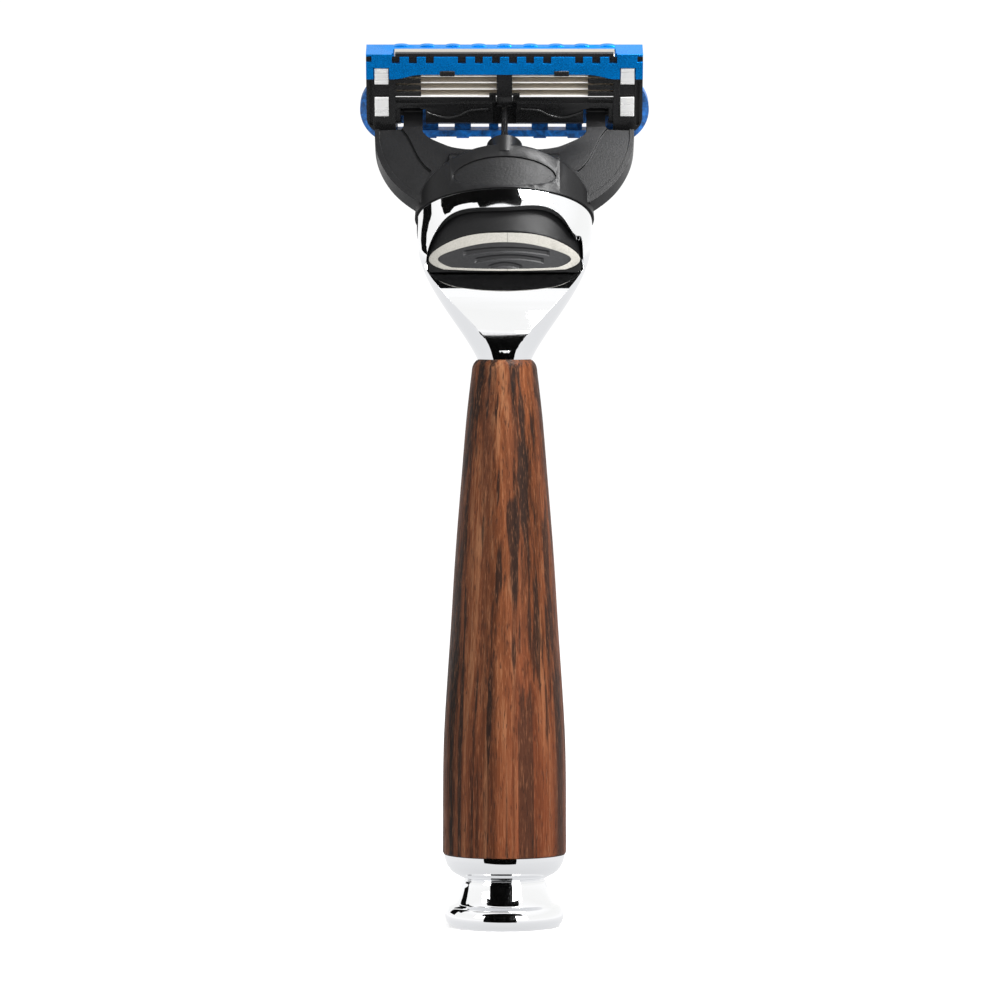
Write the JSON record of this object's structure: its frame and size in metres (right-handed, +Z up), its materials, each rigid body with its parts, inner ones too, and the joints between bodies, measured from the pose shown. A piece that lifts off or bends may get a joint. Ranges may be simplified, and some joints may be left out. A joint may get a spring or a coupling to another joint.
{
  "type": "cartridge razor",
  "caption": "Wet-shaving razor with a turned wooden grip, chromed foot and die-cast head, ejector button and a pivoting multi-blade cartridge on a two-armed yoke.",
  "frame": {"origin": "centre of the foot's flat underside", "axes": "+Z up the grip, +Y towards the shaving side, +X to the right seen from behind"},
  "size_m": [0.0456, 0.0298, 0.1377],
  "materials": {
    "wood": "satin",
    "chrome": "polished",
    "steel": "satin",
    "spring_steel": "satin",
    "blade_steel": "fine brushed",
    "clip_metal": "bright",
    "yoke_black": "fine texture",
    "housing_black": "satin",
    "button_black": "satin",
    "pad_rubber": "matte",
    "ring_grey": "satin",
    "core_black": "satin",
    "plunger_black": "gloss",
    "cover_blue": "metallic satin",
    "guard_blue": "satin",
    "strip_blue": "waxy"
  },
  "bodies": {
    "handle": {"wood_sleeve": "wood", "end_cap": "chrome", "tie_rod": "steel", "head_shell": "chrome", "dock_nose": "core_black", "ejector_spring": "spring_steel", "plunger_spring": "spring_steel"},
    "ejector": {"ejector_button": "button_black", "button_ring": "ring_grey", "button_pad": "pad_rubber", "ejector_pusher": "core_black"},
    "plunger": {"plunger": "plunger_black"},
    "yoke": {"yoke": "yoke_black"},
    "cartridge": {"cartridge_housing": "housing_black", "clip_left": "clip_metal", "clip_right": "clip_metal", "trimmer_cover": "cover_blue", "trimmer_blade": "blade_steel", "guard_fins": "guard_blue", "lubricating_strip": "strip_blue"},
    "blade_unit_1": {"blade_1": "blade_steel", "blade_support_1": "steel"},
    "blade_unit_2": {"blade_2": "blade_steel", "blade_support_2": "steel"},
    "blade_unit_3": {"blade_3": "blade_steel", "blade_support_3": "steel"},
    "blade_unit_4": {"blade_4": "blade_steel", "blade_support_4": "steel"},
    "blade_unit_5": {"blade_5": "blade_steel", "blade_support_5": "steel"}
  },
  "joints": [
    {"name": "cartridge_release", "type": "slide", "parent": "handle", "child": "yoke", "axis": [0, 0.5736, 0.8192], "range_m": [0, 0.003]},
    {"name": "ejector_slide", "type": "slide", "parent": "handle", "child": "ejector", "axis": [0, 0.5736, 0.8192], "range_m": [0, 0.003], "stiffness_N_per_m": 250, "springref_m": -0.002, "deforming": ["ejector_spring"]},
    {"name": "head_pivot", "type": "hinge", "parent": "yoke", "child": "cartridge", "pos_m": [0, 0.01624, 0.12709], "axis": [1, 0, 0], "range_deg": [0, 40], "stiffness_Nm_per_rad": 0.004, "springref_deg": -20.05},
    {"name": "plunger_slide", "type": "slide", "parent": "handle", "child": "plunger", "axis": [0, -0.5736, -0.8192], "range_m": [0, 0.0014], "deforming": ["plunger_spring"]},
    {"name": "blade_unit_1_float", "type": "slide", "parent": "cartridge", "child": "blade_unit_1", "axis": [0, -0.9135, -0.4067], "range_m": [0, 0.00025], "stiffness_N_per_m": 300, "springref_m": -0.0005},
    {"name": "blade_unit_2_float", "type": "slide", "parent": "cartridge", "child": "blade_unit_2", "axis": [0, -0.9135, -0.4067], "range_m": [0, 0.00025], "stiffness_N_per_m": 300, "springref_m": -0.0005},
    {"name": "blade_unit_3_float", "type": "slide", "parent": "cartridge", "child": "blade_unit_3", "axis": [0, -0.9135, -0.4067], "range_m": [0, 0.00025], "stiffness_N_per_m": 300, "springref_m": -0.0005},
    {"name": "blade_unit_4_float", "type": "slide", "parent": "cartridge", "child": "blade_unit_4", "axis": [0, -0.9135, -0.4067], "range_m": [0, 0.00025], "stiffness_N_per_m": 300, "springref_m": -0.0005},
    {"name": "blade_unit_5_float", "type": "slide", "parent": "cartridge", "child": "blade_unit_5", "axis": [0, -0.9135, -0.4067], "range_m": [0, 0.00025], "stiffness_N_per_m": 300, "springref_m": -0.0005}
  ],
  "couplings": [
    {"joint": "ejector_slide", "follows": "cartridge_release", "ratio": 1},
    {"joint": "plunger_slide", "follows": "head_pivot", "m_per_rad": 0.0019798}
  ]
}
